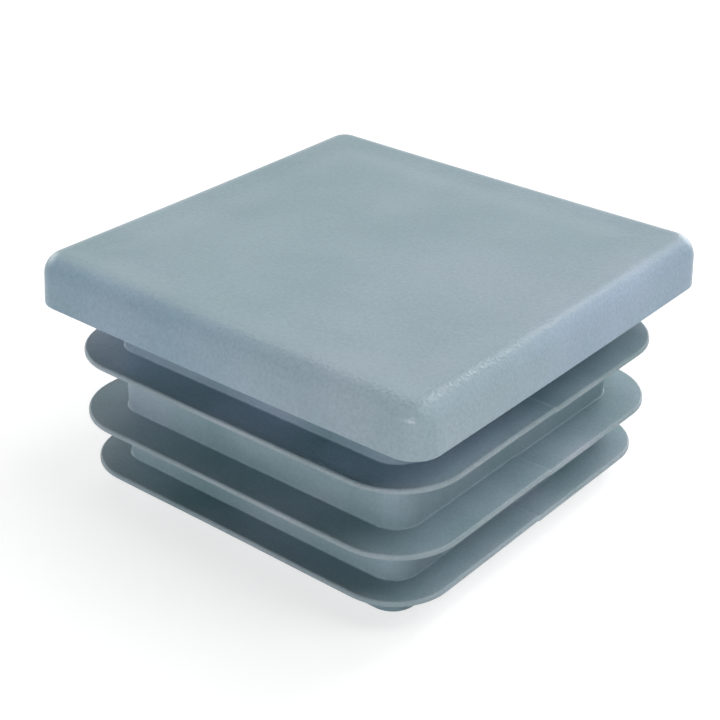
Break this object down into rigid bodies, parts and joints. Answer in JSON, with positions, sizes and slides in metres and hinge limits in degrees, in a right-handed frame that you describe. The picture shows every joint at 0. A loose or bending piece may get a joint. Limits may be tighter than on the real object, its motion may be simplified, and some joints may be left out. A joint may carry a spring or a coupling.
{
  "type": "tube end cap",
  "caption": "Square ribbed plastic end cap for a square tube: a flat rounded head over a hollow plug ringed by thin gripping fins.",
  "frame": {"origin": "centre of the plug's open rim, on the plane the cap stands on", "axes": "+Z along the tube's axis, out of the tube towards the head; X and Y square to the head's sides"},
  "size_m": [0.05, 0.05, 0.0281],
  "materials": {
    "polyethylene": "moulded low-density polyethylene, blue-grey, satin, with a fine spark-eroded grain on the head"
  },
  "bodies": {
    "root": {"end_cap": "polyethylene"}
  },
  "joints": []
}
